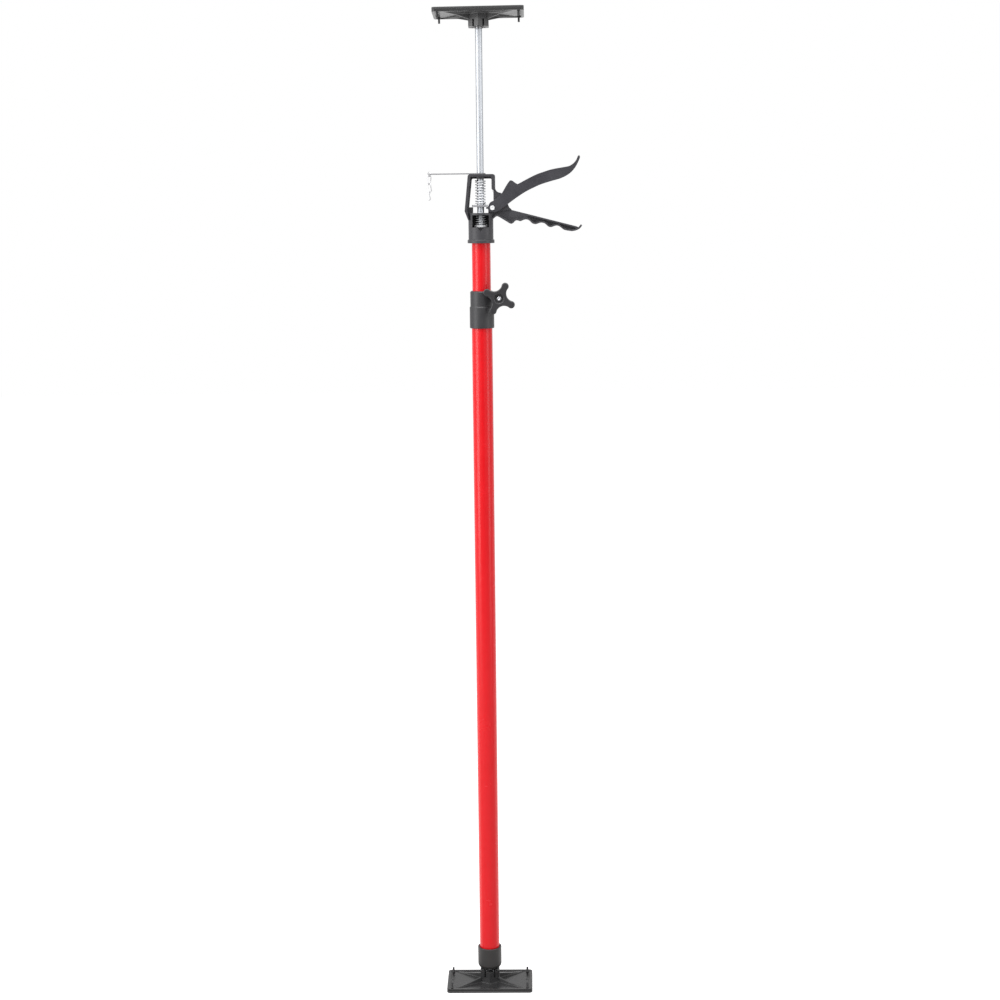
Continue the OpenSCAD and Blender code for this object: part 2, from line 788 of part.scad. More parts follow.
grip_root_shares = [[0.188, -0.171], [0.112, -0.124], [0.077, -0.103], [0.045, -0.094], [0.002, -0.127]];
function from_pivot(shares, size) = [for (s = shares) [pivot_x, pivot_h] + s * size];
grip_top = from_pivot(grip_top_shares, grip_len);
grip_hook = curve(from_pivot(grip_hook_shares, grip_len));
grip_under = joined([
  curve(from_pivot(grip_tip_shares, grip_len)),
  curve(from_pivot(grip_groove_shares, grip_len)),
  curve(from_pivot(grip_root_shares, grip_len))
]);
grip_rim = 2.3;
grip_mark_share = [0.475, -0.122];  // round casting mark on the web
grip_mark_d = 4;
grip_mark_rise = 0.4;
grip_edge_from_share = 0.25;  // where the rim along the straight edge begins
module grip_outline() {
  polygon(concat(
    joined([grip_top, grip_hook, grip_under]),
    [
      [socket_d / 2 - flange_wid, chamber_floor + chamber_h / 2],
      [socket_d / 2 - flange_wid, pivot_h],
      [pivot_x, pivot_h]
    ]
  ));
}

// Rims that stand out from the web of the grip, along its underside and its straight edge
module grip_rims() {
  band(grip_under, grip_rim);
  band([
    grip_top[0] + grip_edge_from_share * (grip_top[1] - grip_top[0]),
    grip_top[1]
  ], grip_rim);
}

// Socket of the head: flange, cylinder and a notch in front of the chamber floor
notch_wid = 11.6;
notch_deep = 5.5;
chamber_back = 7;  // wall behind the spring chamber
hub_relief = 2.1;  // free space round the hub of the lever
notch_cut = 10;  // depth of the notch, front to back
module head_socket() {
  cylinder(h = flange_h - lip_cut / 2, d = flange_d);
  translate([0, 0, flange_h - lip_cut / 2])
    cylinder(h = lip_cut / 2, d1 = flange_d, d2 = flange_d - lip_cut);
  cylinder(h = slot_floor, d = socket_d);
}
module head_body() {
  color([0.27, 0.27, 0.29])
    translate([0, 0, head_z])
      difference() {
        union() {
          head_socket();
          slab(frame_depth)
            head_flange();
          slab(frame_web)
            frame_web_shape();
          slab(web_thick)
            head_lug();
          slab(frame_web)
            grip_outline();
          slab(frame_web + 2 * grip_mark_rise)
            translate([pivot_x, pivot_h] + grip_mark_share * grip_len)
              circle(d = grip_mark_d);
          slab(grip_depth)
            grip_rims();
          slab(web_thick)
            translate([pivot_x, pivot_h])
              circle(lug_r);
          translate([0, 0, spring_seat])
            cylinder(h = head_h - spring_seat - over, d = main_spring_d + main_wire);
        }
        slab(2 * frame_depth)
          difference() {
            head_window();
            translate([pivot_x, pivot_h])
              circle(lug_r);
          }
        translate([-chamber_wid / 2, -socket_d, chamber_floor])
          cube([chamber_wid, 1.5 * socket_d - chamber_back, chamber_h]);
        translate([0, -socket_d / 2 + notch_cut / 2, chamber_floor + over])
          slab(notch_cut + 2 * over)
            polygon([[-notch_wid / 2 - over, 0], [notch_wid / 2 + over, 0], [0, -notch_deep - over]]);
        translate([0, 0, -over])
          cylinder(h = tube_seat + over, r = upper_tube_d / 2 + turn_fit);
        translate([0, 0, -over])
          cylinder(h = head_h + 2 * over, r = rod_d / 2 + run_fit);
        translate([pivot_x, 0, pivot_h])
          rotate([90, 0, 0])
            cylinder(h = 2 * frame_depth, r = rivet_d / 2 + turn_fit, center = true);
        translate([0, 0, rivet_rise])
          rotate([-90, 0, 0])
            cylinder(h = socket_d, r = fix_rivet_d / 2 + turn_fit);
        for (side = [-1, 1])
          translate([pivot_x, side * (web_thick + frame_depth) / 2, pivot_h])
            rotate([90, 0, 0])
              cylinder(h = frame_depth, r = hub_r + hub_relief, center = true);
      }
}
module head_rivet() {
  color([0.75, 0.76, 0.78])
    translate([0, 0, head_z + rivet_rise])
      rotate([-90, 0, 0]) {
        translate([0, 0, upper_tube_d / 2 - upper_wall])
          cylinder(h = (socket_d - upper_tube_d) / 2 + upper_wall, d = fix_rivet_d);
        translate([0, 0, socket_d / 2])
          cylinder(h = fix_rivet_d / 3, d1 = 2 * fix_rivet_d, d2 = fix_rivet_d);
      }
}

// Lever outline in shares of its length from the pivot, in four runs round the shape
back_shares = [[-0.046, 0.023], [-0.031, 0.053], [-0.013, 0.069], [0.012, 0.08], [0.033, 0.094],
  [0.063, 0.121], [0.107, 0.161], [0.136, 0.206], [0.16, 0.247], [0.182, 0.28], [0.201, 0.304]];
peak_shares = [[0.215, 0.309], [0.237, 0.3], [0.266, 0.278], [0.291, 0.264]];
bow_shares = [[0.317, 0.278], [0.434, 0.338], [0.507, 0.372], [0.58, 0.397], [0.654, 0.42], [0.727, 0.436],
  [0.858, 0.457], [0.895, 0.47], [0.931, 0.495], [0.96, 0.529], [0.978, 0.568]];
tip_shares = [[0.978, 0.568], [0.986, 0.58], [0.998, 0.577], [1.003, 0.56]];
belly_shares = [[1.003, 0.56], [0.997, 0.541], [0.98, 0.502], [0.956, 0.458], [0.927, 0.419], [0.892, 0.384],
  [0.848, 0.355], [0.798, 0.331], [0.747, 0.314], [0.689, 0.299], [0.616, 0.278], [0.543, 0.254], [0.47, 0.222],
  [0.397, 0.187], [0.331, 0.148], [0.272, 0.109], [0.212, 0.066], [0.154, 0.022], [0.124, 0.001],
  [0.094, -0.021], [0.064, -0.038], [0.034, -0.048], [0.004, -0.052]];
lever_back = curve(from_pivot(back_shares, lever_len));
lever_top = joined([
  curve(from_pivot(peak_shares, lever_len)),
  curve(from_pivot(bow_shares, lever_len))
]);
lever_tip = curve(from_pivot(tip_shares, lever_len), 2);
lever_belly = curve(from_pivot(belly_shares, lever_len));
spine_thick = 3;
spine_from = 28;  // point of the back where the spine begins, clear of the lug
module lever_outline() {
  polygon(concat(joined([lever_back, lever_top, lever_tip, lever_belly]), [[pivot_x, pivot_h]]));
  translate([pivot_x, pivot_h])
    circle(hub_r);
}
module lever_spine() {
  band(concat([for (i = [spine_from : len(lever_back) - 1]) lever_back[i]], lever_top), spine_thick);
}
module lever_nose() {
  translate([pivot_x - nose_arm, pivot_h - seat_fit / 2])
    circle(nose_r);
  translate([pivot_x - nose_arm, pivot_h - seat_fit / 2 - nose_r])
    square([nose_arm, 2 * nose_r]);
}
module trigger_lever() {
  color([0.24, 0.24, 0.26])
    translate([0, 0, head_z])
      difference() {
        union() {
          for (side = [-1, 1])
            translate([0, side * (cheek_in + cheek_thick / 2), 0])
              slab(cheek_thick) {
                lever_outline();
                lever_nose();
              }
          slab(2 * cheek_out)
            lever_spine();
        }
        translate([pivot_x, 0, pivot_h])
          rotate([90, 0, 0])
            cylinder(h = 4 * cheek_out, r = rivet_d / 2 + turn_fit, center = true);
      }
}
module lever_rivet() {
  head = 1;
  grip = 2 * (cheek_out + turn_fit);
  color([0.82, 0.83, 0.85])
    translate([pivot_x, 0, head_z + pivot_h])
      rotate([90, 0, 0])
        difference() {
          union() {
            cylinder(h = grip, d = rivet_d, center = true);
            for (side = [-1, 1])
              translate([0, 0, side * (grip + head) / 2])
                cylinder(h = head, d = rivet_head_d, center = true);
          }
          for (side = [-1, 1])
            translate([0, 0, side * (grip / 2 + head)])
              cylinder(h = head, d = rivet_d / 3, center = true);
        }
}

// Drive plate that jams on the rod, lifted by the nose of the lever
drive_left = 12.3;
drive_right = 10;
drive_wid = 17;
module drive_plate() {
  color([0.66, 0.66, 0.69])
    translate([0, 0, head_z + drive_h])
      difference() {
        linear_extrude(height = drive_thick)
          polygon(rounded([
            [-drive_left, -drive_wid / 2, drive_thick],
            [drive_right, -drive_wid / 2, drive_thick / 2],
            [drive_right, drive_wid / 2, drive_thick / 2],
            [-drive_left, drive_wid / 2, drive_thick]
          ]));
        translate([0, 0, -over])
          cylinder(h = drive_thick + 2 * over, r = rod_d / 2 + slip_fit);
      }
}

// Compression spring of round wire: its end turns close up, and its radius may taper
closed_gap = 0.5;
rings_per_turn = 8;
function spring_z(turn, turns, high, wire, dead) =
  let (
    low = dead * (wire + closed_gap),
    live = (high - 2 * low) / (turns - 2 * dead)
  )
  turn < dead ? turn * (wire + closed_gap)
    : turn > turns - dead ? high - (turns - turn) * (wire + closed_gap)
    : low + (turn - dead) * live;
function spring_path(r1, r2, turns, high, wire, dead) =
  [for (i = [0 : turns * rings_per_turn])
    let (turn = i / rings_per_turn, r = r1 + (r2 - r1) * turn / turns)
    [r * cos(360 * turn), r * sin(360 * turn), spring_z(turn, turns, high, wire, dead)]];
module wound_spring(path, wire) {
  echo(least_gap = least_gap(path, rings_per_turn / 2, wire));
  wire_tube(path, [for (p = path) [p[0], p[1], 0]], wire / 2);
}
module main_spring() {
  long = spring_seat - drive_top - 2 * seat_fit;
  r = (main_spring_d - main_wire) / 2;
  color([0.8, 0.8, 0.82])
    translate([0, 0, head_z + drive_top + seat_fit + main_wire / 2])
      wound_spring(spring_path(r, r, main_turns, long - main_wire, main_wire, 1), main_wire);
}

// Stop washer on the floor of the chamber, held down by the conical spring
module stop_washer() {
  color([0.88, 0.89, 0.9])
    translate([0, 0, head_z + chamber_floor])
      difference() {
        cylinder(h = washer_thick, d = washer_d);
        translate([0, 0, -over])
          cylinder(h = washer_thick + 2 * over, r = rod_d / 2 + slip_fit);
      }
}
module stop_spring() {
  long = chamber_h - washer_thick - 2 * seat_fit;
  foot_r = (min(cone_spring_d, washer_d) - cone_wire) / 2;
  top_r = rod_d / 2 + slip_fit + cone_wire;
  color([0.8, 0.8, 0.82])
    translate([0, 0, head_z + chamber_floor + washer_thick + seat_fit + cone_wire / 2])
      wound_spring(spring_path(foot_r, top_r, cone_turns, long - cone_wire, cone_wire, 0.5), cone_wire);
}

// Rod with a tapped upper end, and the ring on its lower end that stops it in the head
shank_deep = 20;
top_shank_d = 7;
stop_h = 8;
stop_groove = 1;
module rod() {
  color([0.85, 0.86, 0.88])
    translate([0, 0, rod_z])
      difference() {
        cylinder(h = rod_len, d = rod_d);
        translate([0, 0, rod_len - shank_deep - over])
          cylinder(h = shank_deep + 2 * over, r = top_shank_d / 2 + turn_fit);
      }
}
module rod_stop() {
  color([0.15, 0.15, 0.15])
    translate([0, 0, rod_z])
      difference() {
        cylinder(h = stop_h, r = upper_tube_d / 2 - upper_wall - run_fit);
        translate([0, 0, -over])
          cylinder(h = stop_h + 2 * over, r = rod_d / 2 + turn_fit);
        translate([0, 0, stop_h / 2 - stop_groove])
          difference() {
            cylinder(h = 2 * stop_groove, d = upper_tube_d);
            translate([0, 0, -over])
              cylinder(h = 2 * stop_groove + 2 * over, r = upper_tube_d / 2 - upper_wall - stop_groove);
          }
      }
}

// Top ball and plate: the plate tilts about the centre of its ball
module top_ball() {
  color([0.62, 0.63, 0.65])
    translate([0, 0, top_ball_z]) {
      sphere(d = ball_d);
      translate([0, 0, rod_top + seat_fit - top_ball_z])
        cylinder(h = top_ball_z - rod_top - seat_fit, d = neck_d);
      translate([0, 0, rod_top - shank_deep - top_ball_z])
        cylinder(h = shank_deep + top_neck, d = top_shank_d);
    }
}
module at_top() {
  translate([0, 0, top_ball_z])
    rotate([-top_tilt, -top_lean, 0])
      translate([0, 0, ball_lift])
        rotate([180, 0, 0])
          children();
}
module top_plate() {
  color([0.1, 0.1, 0.11])
    at_top()
      socket_plate();
}
module top_pad() {
  color([0.05, 0.05, 0.05])
    at_top()
      rubber_pad();
}

// Brake lever: a strip on the top bar, with a hole that grips the rod
brake_end = 7.5;  // strip past the axis of the rod
brake_taper = 14;  // where the strip begins to narrow
brake_hole_r = rod_d / 2 + slip_fit;
ring_hole_r = 1.7;
ring_hole_x = -brake_reach + brake_tip_wid / 2 - 0.4;
module brake_lever() {
  color([0.62, 0.62, 0.64])
    translate([0, 0, head_top])
      difference() {
        linear_extrude(height = brake_thick) {
          polygon(rounded([
            [brake_end, -brake_wid / 2, brake_wid / 6],
            [brake_end, brake_wid / 2, brake_wid / 6],
            [-brake_taper, brake_wid / 2, brake_wid / 2],
            [-brake_reach + brake_tip_wid / 2, brake_tip_wid / 2, 0],
            [-brake_reach + brake_tip_wid / 2, -brake_tip_wid / 2, 0],
            [-brake_taper, -brake_wid / 2, brake_wid / 2]
          ]));
          translate([-brake_reach + brake_tip_wid / 2, 0])
            circle(d = brake_tip_wid);
        }
        translate([0, 0, -over])
          cylinder(h = brake_thick + 2 * over, r = brake_hole_r);
        translate([ring_hole_x, 0, -over])
          cylinder(h = brake_thick + 2 * over, r = ring_hole_r);
      }
}

// Chain: each piece crosses the one above by chain_turn, and each link twists by as much
chain_turn = 60;
ring_heading = -50;
ring_low = 1;  // centre of the ring below the top of the strip
ring_z = head_top + brake_thick - ring_low;
ring_reach = sqrt(ring_r * ring_r - pow(brake_thick / 2 - ring_low, 2));
ring_x = ring_hole_x - ring_reach * cos(ring_heading);
ring_y = -ring_reach * sin(ring_heading);
link_z = ring_z - ring_r + chain_wire + seat_fit;
link_pitch = link_len - chain_wire - seat_fit;
link_rings = 24;
function link_turn(i) = ring_heading + chain_turn + 2 * chain_turn * i;
module chain_ring() {
  path = [for (k = [0 : link_rings - 1])
    let (a = 360 * k / link_rings)
    [ring_r * cos(a) * cos(ring_heading), ring_r * cos(a) * sin(ring_heading), ring_r * sin(a)]];
  color([0.7, 0.7, 0.72])
    translate([ring_x, ring_y, ring_z])
      wire_tube(path, [for (p = path) [sin(ring_heading), -cos(ring_heading), 0]], chain_wire / 2, true);
}
module chain_link(i) {
  r = link_wid / 2;
  straight = link_len - link_wid;
  heading_at = function (z) link_turn(i) - chain_turn * z / link_len;
  flat = [for (k = [0 : link_rings - 1])
    let (a = 360 * (k + 0.5) / link_rings)
    [r * cos(a), (sin(a) > 0 ? -r : -r - straight) + r * sin(a)]];
  path = [for (p = flat)
    [p[0] * cos(heading_at(p[1])), p[0] * sin(heading_at(p[1])), p[1]]];
  color([0.7, 0.7, 0.72])
    translate([ring_x, ring_y, link_z - link_pitch * i])
      wire_tube(path, [for (p = flat) [sin(heading_at(p[1])), -cos(heading_at(p[1])), 0]],
        chain_wire / 2, true);
}
module chain_link_1() { chain_link(0); }
module chain_link_2() { chain_link(1); }
module chain_link_3() { chain_link(2); }

base_pad();
base_plate();
foot_ball();
foot_clip();
foot_cap();
lower_tube();
clamp_collar();
clamp_bolt();
clamp_washer();
clamp_knob();
knob_nut();
upper_tube();
tube_guide();
head_body();
head_rivet();
trigger_lever();
lever_rivet();
drive_plate();
main_spring();
stop_washer();
stop_spring();
rod();
rod_stop();
brake_lever();
chain_ring();
chain_link_1();
chain_link_2();
chain_link_3();
top_ball();
top_plate();
top_pad();
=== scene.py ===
# %% [markdown]
# # A telescopic support pole for boards
# The pole is packed as a frame of rigid bodies, and this lesson dresses it. The frame comes in
# first, so that every later piece can be laid where its solid already is. Everything is in
# metres, with the origin under the foot and +Z along the pole.

# %% Load the frame
import json
import math

import bmesh
import bpy
import numpy as np
from mathutils import Matrix, Vector
from mathutils.bvhtree import BVHTree


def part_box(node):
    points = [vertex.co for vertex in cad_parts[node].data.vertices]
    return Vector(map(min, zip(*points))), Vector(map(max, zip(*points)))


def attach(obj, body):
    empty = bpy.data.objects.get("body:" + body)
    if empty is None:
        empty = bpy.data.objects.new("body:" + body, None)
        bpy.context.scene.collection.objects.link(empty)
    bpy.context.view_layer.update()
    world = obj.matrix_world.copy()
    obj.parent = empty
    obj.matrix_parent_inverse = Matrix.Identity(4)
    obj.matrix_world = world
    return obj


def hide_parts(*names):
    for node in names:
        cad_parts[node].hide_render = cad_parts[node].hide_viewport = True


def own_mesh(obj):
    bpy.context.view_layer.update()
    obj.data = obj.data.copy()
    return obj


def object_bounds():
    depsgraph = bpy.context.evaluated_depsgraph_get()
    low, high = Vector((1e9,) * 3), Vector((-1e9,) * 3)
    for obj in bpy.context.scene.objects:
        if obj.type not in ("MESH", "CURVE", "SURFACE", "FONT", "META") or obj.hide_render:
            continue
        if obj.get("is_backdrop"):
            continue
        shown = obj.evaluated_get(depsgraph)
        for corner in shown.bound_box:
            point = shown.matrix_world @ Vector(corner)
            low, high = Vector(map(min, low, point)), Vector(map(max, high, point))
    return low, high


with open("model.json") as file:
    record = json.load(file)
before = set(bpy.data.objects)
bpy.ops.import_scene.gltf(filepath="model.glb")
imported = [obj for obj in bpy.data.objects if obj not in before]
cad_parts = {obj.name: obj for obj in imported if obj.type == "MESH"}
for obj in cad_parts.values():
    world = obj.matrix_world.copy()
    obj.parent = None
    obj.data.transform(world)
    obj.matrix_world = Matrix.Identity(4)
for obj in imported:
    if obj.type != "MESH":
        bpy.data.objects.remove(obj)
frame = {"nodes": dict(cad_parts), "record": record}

MM = 0.001
full_turn = 2 * math.pi
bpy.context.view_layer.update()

# %% [markdown]
# ## Camera
# The photograph was fitted with a plain pinhole camera: 2.8 metres in front of the pole, 1.2
# metres above the floor, looking down by nine degrees. A long lens keeps the tubes nearly
# parallel. The turns are applied as yaw, then pitch, then roll, which is how a tripod head is set.

# %% Camera
photo_px = 1000
focal_px = 1913.7
sensor_mm = 36.0
eye = (0.0708, -2.7982, 1.1991)
yaw, pitch, roll = 0.0169703, -0.1575500, -0.0110000

camera_data = bpy.data.cameras.new("photo_camera")
camera_data.sensor_width = sensor_mm
camera_data.lens = sensor_mm * focal_px / photo_px
camera_data.clip_start = 0.05
camera = bpy.data.objects.new("photo_camera", camera_data)
camera.matrix_world = (
    Matrix.Translation(eye)
    @ Matrix.Rotation(yaw, 4, "Z")
    @ Matrix.Rotation(math.pi / 2 + pitch, 4, "X")
    @ Matrix.Rotation(roll, 4, "Z")
)
bpy.context.scene.collection.objects.link(camera)
bpy.context.scene.camera = camera
print("lens", round(camera_data.lens, 1), "mm")

# %% [markdown]
# ## Studio
# The photograph has a white surround and large soft lamps on both sides of the camera, the left
# one stronger. The world is white where the camera or glass sees it, and a mild grey as a lamp,
# so the background is bright without washing out the dark plastics. A mirror sees white too,
# but for a dark strip on the side of the camera, where a studio has no lamp: that strip gives
# chrome its thin grey line and keeps recessed black surfaces black. High up, the strip ends at
# a bright lamp, for the front edge of the upper plate.

# %% Helpers for nodes
def feed(tree, socket, value):
    """Sets an input to a number, or links it to the output that is given instead."""
    if isinstance(value, (int, float)):
        socket.default_value = value
    else:
        tree.links.new(value, socket)


def calc(tree, operation, first, second):
    """The output of a new Math node; each input is a number or another node's output."""
    node = tree.nodes.new("ShaderNodeMath")
    node.operation = operation
    feed(tree, node.inputs[0], first)
    feed(tree, node.inputs[1], second)
    return node.outputs[0]


def spread(tree, value, low, high, to_low, to_high, kind="LINEAR"):
    """Maps value from low..high to to_low..to_high; the last two may be outputs as well."""
    node = tree.nodes.new("ShaderNodeMapRange")
    node.interpolation_type = kind
    ends = {"Value": value, "From Min": low, "From Max": high, "To Min": to_low, "To Max": to_high}
    for key, end in ends.items():
        feed(tree, node.inputs[key], end)
    return node.outputs["Result"]


# %% World
as_lamp = 0.45
strip_from, strip_to, strip_dark, strip_light = 0.08, 0.5, 0.1, 0.92
lamp_from, lamp_to, lamp_light = 0.12, 0.3, 2.5

world = bpy.data.worlds.new("white_studio")
bpy.context.scene.world = world
world.use_nodes = True
studio = world.node_tree
studio.nodes.clear()
world_out = studio.nodes.new("ShaderNodeOutputWorld")
sky = studio.nodes.new("ShaderNodeBackground")
sky.inputs["Color"].default_value = (1, 1, 1, 1)
rays = studio.nodes.new("ShaderNodeLightPath")
direction = studio.nodes.new("ShaderNodeTexCoord")
split = studio.nodes.new("ShaderNodeSeparateXYZ")
studio.links.new(direction.outputs["Generated"], split.inputs[0])

# How far a ray is turned sideways from -Y, the photograph's side: 0 for a ray straight to it,
# 1 at 45 degrees, and up to 9 for the rays that go the other way.
forward = calc(studio, "MAXIMUM", calc(studio, "MULTIPLY", split.outputs["Y"], -1.0), 0.001)
slant = calc(studio, "DIVIDE", calc(studio, "ABSOLUTE", split.outputs["X"], 0.0), forward)
sideways = calc(studio, "MINIMUM", slant, 9.0)
strip = spread(studio, sideways, strip_from, strip_to, strip_dark, strip_light, "SMOOTHSTEP")
overhead = spread(studio, split.outputs["Z"], lamp_from, lamp_to, 0.0, lamp_light, "SMOOTHSTEP")
front = calc(studio, "MULTIPLY", overhead, calc(studio, "LESS_THAN", split.outputs["Y"], 0.0))
mirrored = calc(
    studio, "MULTIPLY", rays.outputs["Is Glossy Ray"], calc(studio, "MAXIMUM", strip, front)
)
seen = calc(
    studio, "MAXIMUM", rays.outputs["Is Camera Ray"], rays.outputs["Is Transmission Ray"]
)
lit = calc(studio, "MULTIPLY", rays.outputs["Is Diffuse Ray"], as_lamp)
strength = calc(studio, "MAXIMUM", calc(studio, "MAXIMUM", seen, mirrored), lit)
feed(studio, sky.inputs["Strength"], strength)
studio.links.new(sky.outputs[0], world_out.inputs["Surface"])
print("world nodes:", len(studio.nodes))

# %% Lamps
def soft_box(name, place, aim, wide, tall, watts):
    """A rectangular lamp at place, its face turned towards aim."""
    data = bpy.data.lights.new(name, "AREA")
    data.shape = "RECTANGLE"
    data.size, data.size_y, data.energy = wide, tall, watts
    lamp = bpy.data.objects.new(name, data)
    turn = (Vector(place) - Vector(aim)).to_track_quat("Z", "Y").to_matrix().to_4x4()
    lamp.matrix_world = Matrix.Translation(place) @ turn
    bpy.context.scene.collection.objects.link(lamp)


soft_box("box_left", (-2.3, -1.2, 1.4), (0, 0, 0.8), 1.5, 2.6, 46)
soft_box("box_right", (2.4, -1.2, 1.2), (0, 0, 0.8), 1.2, 2.4, 17)
soft_box("box_top", (-0.2, -0.8, 3.3), (0, 0, 0.6), 1.8, 1.8, 44)
print("lamps:", len(bpy.data.lights))

# %% [markdown]
# ## Floor
# The floor is pale and plain. It is an ordinary matt surface, so the foot throws its soft
# shadow, with a little glow to bring it up to the white surround. The camera sees that glow
# everywhere. Its half behind the pole is lit for mirrors too, as a studio's lit background is,
# and the underside of the upper plate mirrors that half.

# %% Floor
floor_reach = 9.0
floor_tone = 0.8
floor_glow = 0.65

floor_mesh = bpy.data.meshes.new("floor")
corners = [(-floor_reach, -floor_reach, 0), (floor_reach, -floor_reach, 0),
           (floor_reach, floor_reach, 0), (-floor_reach, floor_reach, 0)]
floor_mesh.from_pydata(corners, [], [(0, 1, 2, 3)])
floor = bpy.data.objects.new("floor", floor_mesh)
bpy.context.scene.collection.objects.link(floor)
floor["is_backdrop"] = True

floor_paint = bpy.data.materials.new("pale_floor")
floor_paint.use_nodes = True
paint = floor_paint.node_tree
paint.nodes.clear()
floor_out = paint.nodes.new("ShaderNodeOutputMaterial")
matt = paint.nodes.new("ShaderNodeBsdfDiffuse")
matt.inputs["Color"].default_value = (floor_tone, floor_tone, floor_tone, 1)
glow = paint.nodes.new("ShaderNodeEmission")
both = paint.nodes.new("ShaderNodeAddShader")
rays = paint.nodes.new("ShaderNodeLightPath")
place = paint.nodes.new("ShaderNodeTexCoord")
spot = paint.nodes.new("ShaderNodeSeparateXYZ")
paint.links.new(place.outputs["Object"], spot.inputs[0])
far_side = calc(paint, "GREATER_THAN", spot.outputs["Y"], 0.0)
far_mirror = calc(paint, "MULTIPLY", rays.outputs["Is Glossy Ray"], far_side)
shown = calc(paint, "MAXIMUM", rays.outputs["Is Camera Ray"], far_mirror)
feed(paint, glow.inputs["Strength"], calc(paint, "MULTIPLY", shown, floor_glow))
paint.links.new(matt.outputs[0], both.inputs[0])
paint.links.new(glow.outputs[0], both.inputs[1])
paint.links.new(both.outputs[0], floor_out.inputs["Surface"])
floor_mesh.materials.append(floor_paint)
print("floor:", 2 * floor_reach, "m wide")

# %% [markdown]
# ## Shared effects
# Moulded plastic, cast metal, paint and drawn steel all differ in how their surface breaks the
# light. Each effect is one node group, fed with object coordinates in metres, so its grain has
# a true size on every piece. A group gives out a height for bump, a tone for colour and a
# value for roughness, or a mask, and each finish sets its own amounts.

# %% Helpers for node groups
def new_group(name, inputs, outputs):
    """An empty node group with a vector input, the named number inputs and number outputs."""
    group = bpy.data.node_groups.new(name, "ShaderNodeTree")
    group.interface.new_socket("Place", in_out="INPUT", socket_type="NodeSocketVector")
    for key, value in inputs.items():
        socket = group.interface.new_socket(key, in_out="INPUT", socket_type="NodeSocketFloat")
        socket.default_value = value
    for key in outputs:
        group.interface.new_socket(key, in_out="OUTPUT", socket_type="NodeSocketFloat")
    return group, group.nodes.new("NodeGroupInput"), group.nodes.new("NodeGroupOutput")


def noise(group, place, per_metre, detail, roughness):
    """The value of a noise texture; per_metre is a number or another node's output."""
    node = group.nodes.new("ShaderNodeTexNoise")
    group.links.new(place, node.inputs["Vector"])
    feed(group, node.inputs["Scale"], per_metre)
    node.inputs["Detail"].default_value = detail
    node.inputs["Roughness"].default_value = roughness
    return node.outputs["Fac"]


def stretched(group, place, scale, turned=(0, 0, 0)):
    """The place, turned and then stretched, so that a noise there runs in one direction."""
    node = group.nodes.new("ShaderNodeMapping")
    node.inputs["Rotation"].default_value = turned
    node.inputs["Scale"].default_value = scale
    group.links.new(place, node.inputs["Vector"])
    return node.outputs[0]


def give_out(group, group_in, group_out, height, mottle):
    """Gives out the height as it is, and the mottle as a tone and as a roughness."""
    low, high = 0.3, 0.7
    rough = group_in.outputs["Rough low"], group_in.outputs["Rough high"]
    group.links.new(height, group_out.inputs["Height"])
    group.links.new(spread(group, mottle, low, high, 0.0, 1.0), group_out.inputs["Tone"])
    group.links.new(spread(group, mottle, low, high, *rough), group_out.inputs["Roughness"])


# %% Grain of moulded or cast surfaces
grain, g_in, g_out = new_group(
    "surface_grain",
    {"Grain per metre": 900.0, "Rough low": 0.4, "Rough high": 0.6},
    ["Height", "Tone", "Roughness"],
)
clouds_per_metre = 38.0
fine = noise(grain, g_in.outputs["Place"], g_in.outputs["Grain per metre"], 4.0, 0.65)
cloud = noise(grain, g_in.outputs["Place"], clouds_per_metre, 5.0, 0.6)
give_out(grain, g_in, g_out, fine, cloud)

# %% Fine lines of drawn, ground or rolled metal
drawn, d_in, d_out = new_group(
    "drawn_lines",
    {"Lines per metre": 2500.0, "Rough low": 0.1, "Rough high": 0.25},
    ["Height", "Tone", "Roughness"],
)
line_length = 0.012
smears_per_metre = 26.0
along = stretched(drawn, d_in.outputs["Place"], (1.0, 1.0, line_length))
lines = noise(drawn, along, d_in.outputs["Lines per metre"], 3.0, 0.6)
smear = noise(drawn, d_in.outputs["Place"], smears_per_metre, 4.0, 0.55)
give_out(drawn, d_in, d_out, lines, smear)

# %% Small scuffs from handling
scuffs, s_in, s_out = new_group("handling_scuffs", {"Amount": 0.5}, ["Mask"])
marks_per_metre = 110.0
patches_per_metre = 17.0
slanted = stretched(scuffs, s_in.outputs["Place"], (1.0, 1.0, 5.0), (0.4, 0.7, 0.2))
marks = noise(scuffs, slanted, marks_per_metre, 6.0, 0.7)
where = noise(scuffs, s_in.outputs["Place"], patches_per_metre, 2.0, 0.5)
keep = spread(scuffs, where, 0.5, 0.68, 0.0, s_in.outputs["Amount"])
thin = spread(scuffs, marks, 0.6, 0.74, 0.0, 1.0)
scuffs.links.new(calc(scuffs, "MULTIPLY", keep, thin), s_out.inputs["Mask"])
print("node groups:", len(bpy.data.node_groups))

# %% [markdown]
# ## Finishes
# A finish is a plain Principled shader whose colour moves between two close tones, with bump
# and roughness from a shared effect. The whole-surface numbers, such as coat and metallic, sit
# on the shader itself. Colours are linear values, set by comparing renders with the photograph.

# %% Helpers for finishes
finishes = {}


def blend_colours(tree, factor, first, second):
    """A colour between the two, each a tone or another node's output, by the factor."""
    mix = tree.nodes.new("ShaderNodeMix")
    mix.data_type = "RGBA"
    tree.links.new(factor, mix.inputs["Factor"])
    for key, value in (("A", first), ("B", second)):
        if isinstance(value, tuple):
            mix.inputs[key].default_value = (*value, 1)
        else:
            tree.links.new(value, mix.inputs[key])
    return mix.outputs["Result"]


